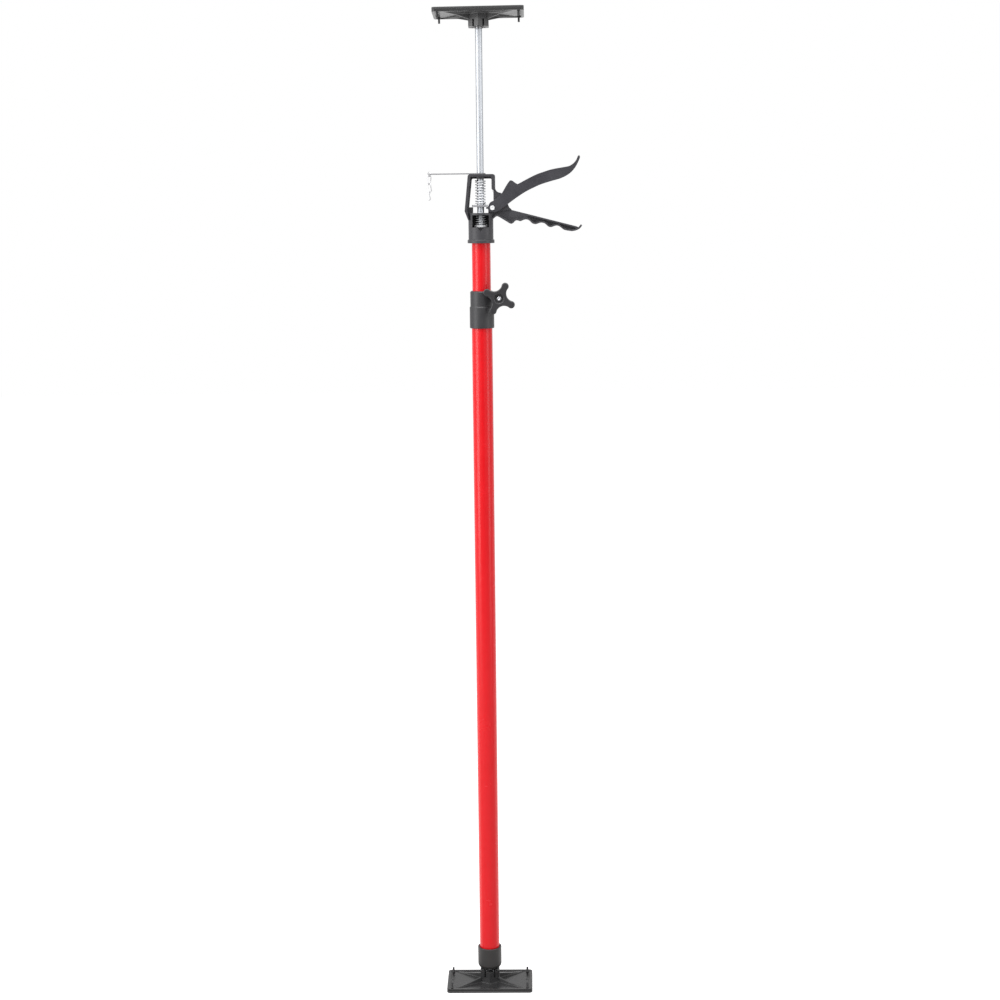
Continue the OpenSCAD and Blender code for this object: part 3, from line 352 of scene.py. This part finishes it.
def finish(name, effect, per_metre, tones, rough, bump, scuff=0.0, scuff_tone=None, **sockets):
    """A material from one effect group: tones are its two colours, rough its roughness range,
    bump its strength and depth, and the sockets are the shader's own."""
    made = bpy.data.materials.new(name)
    made.use_nodes = True
    tree = made.node_tree
    shader = tree.nodes["Principled BSDF"]
    place = tree.nodes.new("ShaderNodeTexCoord")
    group = tree.nodes.new("ShaderNodeGroup")
    group.node_tree = effect
    tree.links.new(place.outputs["Object"], group.inputs["Place"])
    group.inputs[1].default_value = per_metre
    group.inputs["Rough low"].default_value, group.inputs["Rough high"].default_value = rough
    colour = blend_colours(tree, group.outputs["Tone"], *tones)
    if scuff:
        worn = tree.nodes.new("ShaderNodeGroup")
        worn.node_tree = scuffs
        worn.inputs["Amount"].default_value = scuff
        tree.links.new(place.outputs["Object"], worn.inputs["Place"])
        colour = blend_colours(tree, worn.outputs["Mask"], colour, scuff_tone)
    relief = tree.nodes.new("ShaderNodeBump")
    relief.inputs["Strength"].default_value, relief.inputs["Distance"].default_value = bump
    tree.links.new(group.outputs["Height"], relief.inputs["Height"])
    tree.links.new(relief.outputs[0], shader.inputs["Normal"])
    tree.links.new(colour, shader.inputs["Base Color"])
    tree.links.new(group.outputs["Roughness"], shader.inputs["Roughness"])
    for key, value in sockets.items():
        shader.inputs[key.replace("_", " ")].default_value = value
    finishes[name] = made


# %% Paint and plastics
finish(
    "tube_red", grain, 260.0, ((0.75, 0.005, 0.01), (0.79, 0.007, 0.013)),
    (0.24, 0.28), (0.01, 2e-05),
    Specular_IOR_Level=0.3, Coat_Weight=0.08, Coat_Roughness=0.1,
)
finish(
    "plate_plastic", grain, 1100.0, ((0.008, 0.0077, 0.0085), (0.012, 0.0115, 0.0125)),
    (0.22, 0.3), (0.1, 0.0002), scuff=0.25, scuff_tone=(0.03, 0.03, 0.031),
    Specular_IOR_Level=0.5, Sheen_Weight=0.12, Sheen_Roughness=0.3,
)
finish(
    "cap_plastic", grain, 1200.0, ((0.016, 0.015, 0.0143), (0.022, 0.0202, 0.0195)),
    (0.4, 0.52), (0.25, 0.0002), scuff=0.25, scuff_tone=(0.07, 0.068, 0.066),
)
finish(
    "knob_plastic", grain, 1100.0, ((0.017, 0.0165, 0.0185), (0.024, 0.0235, 0.0265)),
    (0.34, 0.46), (0.25, 0.0002), scuff=0.2, scuff_tone=(0.08, 0.08, 0.085),
)
finish(
    "collar_plastic", grain, 1100.0, ((0.019, 0.0186, 0.0205), (0.025, 0.0246, 0.0272)),
    (0.38, 0.5), (0.25, 0.0002), scuff=0.2, scuff_tone=(0.09, 0.09, 0.095),
)
finish(
    "pad_rubber", grain, 700.0, ((0.03, 0.03, 0.031), (0.038, 0.038, 0.0395)),
    (0.55, 0.7), (0.3, 0.0003), scuff=0.3, scuff_tone=(0.06, 0.06, 0.06),
)
finish(
    "nylon", grain, 800.0, ((0.02, 0.02, 0.02), (0.03, 0.03, 0.03)),
    (0.4, 0.5), (0.15, 0.0002),
)
finish(
    "head_paint", grain, 900.0, ((0.039, 0.038, 0.0425), (0.048, 0.047, 0.0525)),
    (0.4, 0.5), (0.12, 0.0002), scuff=0.2, scuff_tone=(0.13, 0.13, 0.14),
    Specular_IOR_Level=0.4,
)
finish(
    "lever_paint", grain, 900.0, ((0.03, 0.029, 0.035), (0.04, 0.0388, 0.046)),
    (0.34, 0.44), (0.12, 0.0002), scuff=0.25, scuff_tone=(0.13, 0.13, 0.14),
)

# %% Metals
finish(
    "rod_chrome", drawn, 3000.0, ((0.38, 0.395, 0.42), (0.43, 0.445, 0.47)),
    (0.42, 0.48), (0.01, 2e-05), Metallic=1.0,
)
finish(
    "spring_steel", grain, 1500.0, ((0.72, 0.73, 0.75), (0.84, 0.85, 0.87)),
    (0.4, 0.5), (0.05, 0.0001), Metallic=0.3,
)
finish(
    "washer_bright", drawn, 2600.0, ((0.86, 0.87, 0.89), (0.93, 0.935, 0.95)),
    (0.4, 0.5), (0.05, 0.0001),
)
finish(
    "drive_zinc", grain, 900.0, ((0.26, 0.26, 0.275), (0.34, 0.34, 0.355)),
    (0.42, 0.52), (0.1, 0.0002), Metallic=0.5,
)
finish(
    "bolt_zinc", grain, 1200.0, ((0.66, 0.67, 0.7), (0.8, 0.81, 0.84)),
    (0.2, 0.34), (0.1, 0.0001), Metallic=1.0,
)
finish(
    "ball_steel", grain, 1000.0, ((0.3, 0.3, 0.31), (0.42, 0.42, 0.43)),
    (0.26, 0.4), (0.1, 0.0001), Metallic=1.0,
)
finish(
    "clip_steel", grain, 1000.0, ((0.09, 0.09, 0.095), (0.14, 0.14, 0.145)),
    (0.3, 0.45), (0.1, 0.0001), Metallic=1.0,
)
finish(
    "chain_steel", grain, 1800.0, ((0.42, 0.42, 0.43), (0.62, 0.62, 0.64)),
    (0.24, 0.4), (0.1, 0.0001), Metallic=1.0,
)
finish(
    "brake_steel", grain, 900.0, ((0.2, 0.2, 0.21), (0.26, 0.26, 0.27)),
    (0.5, 0.6), (0.05, 0.0002), Metallic=0.4,
)
finish(
    "rivet_steel", grain, 1500.0, ((0.86, 0.87, 0.88), (0.93, 0.935, 0.94)),
    (0.34, 0.42), (0.04, 0.0001), Metallic=0.3,
)
print("finishes:", len(finishes))

# %% [markdown]
# ## Laying in a new piece
# Every solid of the frame first gets its finish, so that the ones that stay look right too. A
# finished piece then stands for one solid: it takes over that solid's body, so that it moves
# with it, and its finish.

# %% Place a piece over its solid
slot_of = {entry["node"]: entry["material_slot"] for entry in frame["record"]["subparts"]}
bodies = frame["record"]["behaviour"]["bodies"]
body_of = {node: body for body, nodes in bodies.items() for node in nodes}
for name, node in frame["nodes"].items():
    node.data.materials.clear()
    node.data.materials.append(finishes[slot_of[name]])


def stand_in(mesh, node, degrees=35):
    """Puts the mesh in place of the frame's node; it is smooth but for edges that bend more."""
    mesh.polygons.foreach_set("use_smooth", np.ones(len(mesh.polygons), bool))
    mesh.set_sharp_from_angle(angle=math.radians(degrees))
    mesh.materials.clear()
    mesh.materials.append(finishes[slot_of[node]])
    piece = bpy.data.objects.new(node + "_dressed", mesh)
    bpy.context.scene.collection.objects.link(piece)
    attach(piece, body_of[node])
    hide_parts(node)
    return piece


# %% [markdown]
# ## Softened edges
# Cast, moulded and stamped pieces never have knife edges: the fine bright line along an edge is
# what makes them read as real. The solids already have the right faces, so a copy of each mesh
# is welded, a Bevel modifier rounds its sharp edges, and the flats keep their own normals.

# %% Soften the edges of a solid
weld_gap = 0.05 * MM
flat_angle, sharp_angle = math.radians(1), math.radians(30)
most_proud = 0.45


def softened(node, width, segments=2, merge=False):
    """A copy of the node's mesh with its sharp edges rounded to the width; merge joins flats."""
    mesh = frame["nodes"][node].data.copy()
    mesh.name = node + "_dressed"
    shell = bmesh.new()
    shell.from_mesh(mesh)
    bmesh.ops.remove_doubles(shell, verts=shell.verts, dist=weld_gap)
    if merge:
        bmesh.ops.dissolve_limit(
            shell, angle_limit=flat_angle, verts=shell.verts, edges=shell.edges
        )
    shell.to_mesh(mesh)
    skin = BVHTree.FromBMesh(shell)
    shell.free()
    piece = stand_in(mesh, node)
    bevel = piece.modifiers.new("edge", "BEVEL")
    bevel.width = width
    bevel.segments = segments
    bevel.limit_method = "ANGLE"
    bevel.angle_limit = sharp_angle
    bevel.use_clamp_overlap = False
    view = bpy.context.evaluated_depsgraph_get()
    rounded = bpy.data.meshes.new_from_object(piece.evaluated_get(view))
    piece.modifiers.remove(bevel)
    # Where several edges meet, a corner of the bevel can shoot past the surface. One that lies
    # further from the solid than the bevel's width, or stands proud of it by nearly half of
    # that, goes back to the nearest point of the solid.
    strays = 0
    for corner in rounded.vertices:
        near, normal, _, gap = skin.find_nearest(corner.co)
        if gap > width or (corner.co - near).dot(normal) > most_proud * width:
            corner.co = near
            strays += 1
    rounded.name = mesh.name
    piece.data = rounded
    level = piece.modifiers.new("level", "WEIGHTED_NORMAL")
    level.mode = "FACE_AREA_WITH_ANGLE"
    level.keep_sharp = True
    print(node, "softened:", len(rounded.polygons), "faces,", strays, "stray corners put back")


# %% Pieces and the widths of their edges
edge_mm = {
    "clamp_collar": 0.35,
    "head_body": 0.2,
    "trigger_lever": 0.25,
    "drive_plate": 0.3,
    "brake_lever": 0.2,
    "base_plate": 0.2,
    "top_plate": 0.2,
    "base_pad": 0.4,
    "top_pad": 0.4,
    "foot_cap": 0.6,
    "lever_rivet": 0.2,
    "clamp_washer": 0.2,
    "clamp_bolt": 0.3,
}
softened("clamp_knob", 1.2 * MM, 3, merge=True)
for node, width in edge_mm.items():
    softened(node, width * MM)

# %% [markdown]
# ## Turned pieces
# The two tubes, the rod and the stop washer are drawn or turned round. Each is a profile
# carried once round the axis, with 96 steps, so the outline stays smooth where the frame's
# solid has small flats.

# %% Skin over rings of points
def ring_mesh(name, rings, closed=True):
    """Four-sided faces between point j and j + 1 of ring i and of ring i + 1; the rings are an
    array of (ring, point, xyz), and when closed the last ring joins the first."""
    rows, sides = rings.shape[:2]
    i = np.arange(rows if closed else rows - 1)[:, None]
    j = np.arange(sides)[None, :]
    here, there, on = i * sides, (i + 1) % rows * sides, (j + 1) % sides
    faces = np.stack([here + j, here + on, there + on, there + j], -1).reshape(-1, 4)
    mesh = bpy.data.meshes.new(name)
    mesh.vertices.add(rows * sides)
    mesh.vertices.foreach_set("co", np.ascontiguousarray(rings, np.float32).ravel())
    mesh.loops.add(faces.size)
    mesh.loops.foreach_set("vertex_index", np.ascontiguousarray(faces, np.int32).ravel())
    mesh.polygons.add(len(faces))
    mesh.polygons.foreach_set("loop_start", np.arange(0, faces.size, 4, dtype=np.int32))
    mesh.update(calc_edges=True)
    mesh.validate()
    return mesh


# %% Lathe
def rounded_profile(corners, steps=5):
    """A closed profile of (r, z, fillet) corners, anticlockwise, with each corner an arc: the
    curve (1 - t)^2 a + 2 t (1 - t) corner + t^2 b between points a and b on its two sides."""
    out = []
    count = len(corners)
    for k in range(count):
        before, here, after = (np.array(corners[(k + s) % count][:2], float) for s in (-1, 0, 1))
        fillet = corners[k][2]
        if fillet <= 0:
            out.append(here[None])
            continue
        u, v = (before - here), (after - here)
        u, v = u / np.linalg.norm(u), v / np.linalg.norm(v)
        t = np.linspace(0, 1, steps)[:, None]
        a, b = here + u * fillet, here + v * fillet
        out.append((1 - t) ** 2 * a + 2 * t * (1 - t) * here + t**2 * b)
    return np.concatenate(out)


def lathe(name, corners, steps=96):
    """Surface of revolution: (r, z) goes to (r cos a, r sin a, z) at equal steps of the angle."""
    profile = rounded_profile(corners)
    r, z = profile[:, 0][:, None], profile[:, 1][:, None]
    a = np.linspace(0, full_turn, steps, endpoint=False)
    return ring_mesh(name, np.stack([r * np.cos(a), r * np.sin(a), z + 0 * a], -1))


# %% Tubes, rod and stop washer
def pipe(node, wall, fillet):
    """Drawn tube between the ends of its solid, its ends rounded inside and outside."""
    low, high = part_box(node)
    r = (high.x - low.x) / 2
    corners = [(r - wall, low.z, fillet), (r, low.z, fillet),
               (r, high.z, fillet), (r - wall, high.z, fillet)]
    stand_in(lathe(node + "_dressed", corners), node)


def turned(node, bore, fillet):
    """Turned piece between the ends of its solid, with a bore and a fillet at each outer edge."""
    low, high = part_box(node)
    r = (high.x - low.x) / 2
    corners = [(bore, low.z, 0), (r, low.z, fillet), (r, high.z, fillet), (bore, high.z, 0)]
    stand_in(lathe(node + "_dressed", corners), node)
    print(node, "is", round(2 * r / MM, 1), "mm across")


pipe("lower_tube", 1.2 * MM, 0.3 * MM)
pipe("upper_tube", 1.2 * MM, 0.3 * MM)
turned("rod", 3.55 * MM, 0.5 * MM)
turned("stop_washer", 5.3 * MM, 0.5 * MM)

# %% [markdown]
# ## Springs
# A spring is one wire swept along a helix. The path is a function of the turn number: the
# angle grows evenly, the height grows slowly through the closed end turns and faster between,
# and on the conical spring the radius shrinks. The wire's round section is carried along with
# its first side turned away from the axis, so it never twists. Its lower end keeps a hair's
# breadth off the plate under it, so that the two never cut into each other.

# %% Sweep a round wire along a path
def close_ends(mesh):
    """Closes the pinhole that is left at each end of a swept wire with one small face."""
    shell = bmesh.new()
    shell.from_mesh(mesh)
    bmesh.ops.holes_fill(shell, edges=shell.edges, sides=0)
    shell.to_mesh(mesh)
    shell.free()


def wire(name, path, refs, r, sides=14, closed=False):
    """Tube along a path: each ring is path + r (cos a e + sin a f), where e and f lie across
    the path and e leans towards the reference direction there."""
    path, refs = np.asarray(path, float), np.asarray(refs, float)
    ahead = np.roll(path, -1, 0) - np.roll(path, 1, 0)
    if not closed:
        ahead[0], ahead[-1] = path[1] - path[0], path[-1] - path[-2]
    t = ahead / np.linalg.norm(ahead, axis=1)[:, None]
    e = refs - (refs * t).sum(1)[:, None] * t
    e /= np.linalg.norm(e, axis=1)[:, None]
    f = np.cross(t, e)
    a = np.linspace(0, full_turn, sides, endpoint=False)
    ring = np.cos(a)[None, :, None] * e[:, None] + np.sin(a)[None, :, None] * f[:, None]
    radius = np.full(len(path), r)
    if not closed:
        # The ends are domed: past each end, four more rings shrink nearly to a point.
        beyond = np.array([1.0, 0.72, 0.4, 0.0])
        shrunk = r * np.sqrt(np.clip(1 - beyond**2, 0.0004, 1))
        start = path[0] - t[0] * beyond[:, None] * r * 0.8
        end = path[-1] + t[-1] * beyond[:, None] * r * 0.8
        path = np.concatenate([start, path, end[::-1]])
        radius = np.concatenate([shrunk, radius, shrunk[::-1]])
        more = len(beyond)
        ring = np.concatenate([np.repeat(ring[:1], more, 0), ring, np.repeat(ring[-1:], more, 0)])
    mesh = ring_mesh(name, path[:, None] + radius[:, None, None] * ring, closed)
    if not closed:
        close_ends(mesh)
    return mesh


# %% Path of a spring
closed_gap = 0.5 * MM
seat_gap = 0.05 * MM


def helix(r_low, r_high, turns, high, gauge, dead, per_turn=48):
    """Points of a spring: dead turns at each end lie nearly closed, the rest rise evenly."""
    turn = np.linspace(0, turns, int(turns * per_turn) + 1)
    rise = gauge + closed_gap
    low = dead * rise
    live = (high - 2 * low) / (turns - 2 * dead)
    middle = np.where(turn > turns - dead, high - (turns - turn) * rise, low + (turn - dead) * live)
    z = np.where(turn < dead, turn * rise, middle)
    r = r_low + (r_high - r_low) * turn / turns
    a = full_turn * turn
    return np.stack([r * np.cos(a), r * np.sin(a), z], -1)


def spring(node, r_low, r_high, turns, gauge, dead):
    """A spring between the ends of its solid, with a hair's breadth left under its lower end."""
    low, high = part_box(node)
    tall = high.z - low.z
    path = helix(r_low, r_high, turns, tall - gauge - seat_gap, gauge, dead)
    path[:, 2] += low.z + gauge / 2 + seat_gap
    outward = path * [1, 1, 0]
    piece = stand_in(wire(node + "_dressed", path, outward, gauge / 2), node, 60)
    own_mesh(piece)


spring("main_spring", 6.9 * MM, 6.9 * MM, 9.5, 1.6 * MM, 1.0)
spring("stop_spring", 8.5 * MM, 6.3 * MM, 4.5, 1.0 * MM, 0.5)

# %% [markdown]
# ## Ring and chain
# A short chain hangs from the end of the brake strip, to pull it from the floor. The ring is a
# circle of wire through the hole, and each link is an oval that twists by sixty degrees from
# one end to the other, which is how a twisted chain lies straight.

# %% Ring in the end of the brake strip
wire_r, ring_r = 0.6 * MM, 3.2 * MM
wire_sides, wire_smooth = 12, 60
ring_heading = math.radians(-50)

low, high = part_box("chain_ring")
ring_at = np.array([(low.x + high.x) / 2, (low.y + high.y) / 2, (low.z + high.z) / 2])
a = np.linspace(0, full_turn, 96, endpoint=False)
circle = np.stack(
    [np.cos(a) * math.cos(ring_heading), np.cos(a) * math.sin(ring_heading), np.sin(a)], -1
)
across = np.tile([math.sin(ring_heading), -math.cos(ring_heading), 0.0], (len(a), 1))
mesh = wire("chain_ring_dressed", ring_at + ring_r * circle, across, wire_r, wire_sides, True)
stand_in(mesh, "chain_ring", wire_smooth)
print("chain top at", round(float(ring_at[2]), 4))

# %% Links of the chain
link_len, link_wid = 12.6 * MM, 5.6 * MM
link_twist = math.radians(60)
half, straight = link_wid / 2, link_len - link_wid

for i in range(3):
    # A point of the oval goes to (x cos turn, x sin turn, z), and the turn grows down the link.
    node = f"chain_link_{i + 1}"
    low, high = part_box(node)
    a = np.linspace(0, full_turn, 120, endpoint=False)
    x = half * np.cos(a)
    z = np.where(np.sin(a) > 0, -half, -half - straight) + half * np.sin(a)
    turn = ring_heading + link_twist + 2 * link_twist * i - link_twist * z / link_len
    path = np.stack(
        [ring_at[0] + x * np.cos(turn), ring_at[1] + x * np.sin(turn), high.z - wire_r + z], -1
    )
    across = np.stack([np.sin(turn), -np.cos(turn), 0 * turn], -1)
    mesh = wire(node + "_dressed", path, across, wire_r, wire_sides, True)
    stand_in(mesh, node, wire_smooth)
print("links:", i + 1)

# %% [markdown]
# ## The size
# Dressing must not change the size of the pole. The box of the dressed pole is printed.

# %% Print the box and finish
bpy.context.scene.view_settings.view_transform = "Standard"
low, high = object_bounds()
print("box", [round(v, 4) for v in low], [round(v, 4) for v in high])
